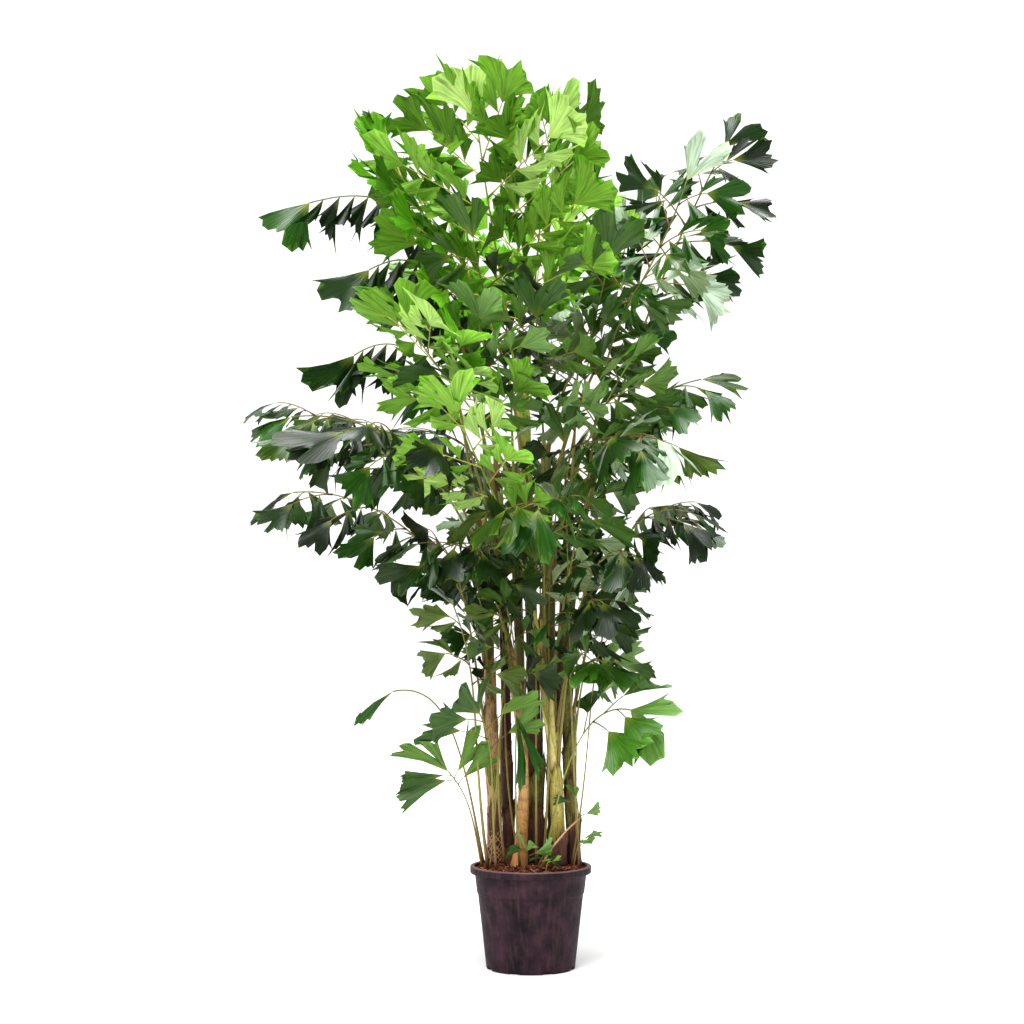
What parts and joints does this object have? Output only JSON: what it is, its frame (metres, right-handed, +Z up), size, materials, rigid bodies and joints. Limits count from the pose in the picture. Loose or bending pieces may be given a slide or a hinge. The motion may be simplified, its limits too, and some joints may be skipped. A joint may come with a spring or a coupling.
{
  "type": "potted clustering fishtail palm",
  "caption": "Tall clump-forming palm with slim canes and twice-divided fishtail fronds, standing in a round nursery pot filled with bark mulch.",
  "frame": {"origin": "on the floor, at the centre of the flat underside of the pot", "axes": "+Z up along the pot's axis, -Y towards the front of the plant, +X towards its right-hand side seen from the front"},
  "size_m": [1.8271, 1.5237, 2.9749],
  "materials": {
    "pot_plastic": "moulded polypropylene, satin, slightly dusty",
    "bark_mulch": "loose reddish bark chips and peat",
    "cane_bark": "ringed cane, tan to olive, with brown fibre",
    "young_frond": "young leaf, bright green, satin",
    "grown_frond": "grown leaf, dark green, satin with a grey sheen"
  },
  "bodies": {
    "root": {"cane_back": "cane_bark", "cane_bent": "cane_bark", "cane_brown": "cane_bark", "cane_left": "cane_bark", "cane_left_back": "cane_bark", "cane_pale": "cane_bark", "cane_right": "cane_bark", "cane_right_back": "cane_bark", "cane_yellow": "cane_bark", "frond_back_inner": "grown_frond", "frond_back_left": "grown_frond", "frond_back_left_high": "grown_frond", "frond_back_left_low": "grown_frond", "frond_back_low": "grown_frond", "frond_back_middle": "grown_frond", "frond_back_right": "grown_frond", "frond_back_right_high": "grown_frond", "frond_back_top": "young_frond", "frond_bright_left": "young_frond", "frond_bright_low": "young_frond", "frond_centre_dark": "grown_frond", "frond_centre_fan": "grown_frond", "frond_centre_front": "grown_frond", "frond_centre_left_fan": "grown_frond", "frond_centre_right": "grown_frond", "frond_left_dark": "grown_frond", "frond_left_front": "grown_frond", "frond_left_high_arch": "grown_frond", "frond_left_high_arch_stalk": "grown_frond", "frond_left_long": "grown_frond", "frond_left_low": "grown_frond", "frond_left_lower": "grown_frond", "frond_left_mid_arch": "grown_frond", "frond_left_mid_arch_stalk": "grown_frond", "frond_left_second_arch": "grown_frond", "frond_left_second_arch_stalk": "grown_frond", "frond_right_bright": "young_frond", "frond_right_fans": "grown_frond", "frond_right_foot": "grown_frond", "frond_right_front": "grown_frond", "frond_right_high": "grown_frond", "frond_right_low": "grown_frond", "frond_right_lower": "grown_frond", "frond_right_mid": "grown_frond", "frond_right_shelf": "grown_frond", "frond_right_tall": "grown_frond", "frond_right_under": "grown_frond", "frond_shoot_left": "grown_frond", "frond_shoot_left_fan": "grown_frond", "frond_shoot_left_thin": "grown_frond", "frond_shoot_right": "grown_frond", "frond_shoot_tall": "grown_frond", "frond_top_centre": "young_frond", "frond_top_left": "young_frond", "frond_top_right": "young_frond", "pot": "pot_plastic", "soil": "bark_mulch"}
  },
  "joints": []
}
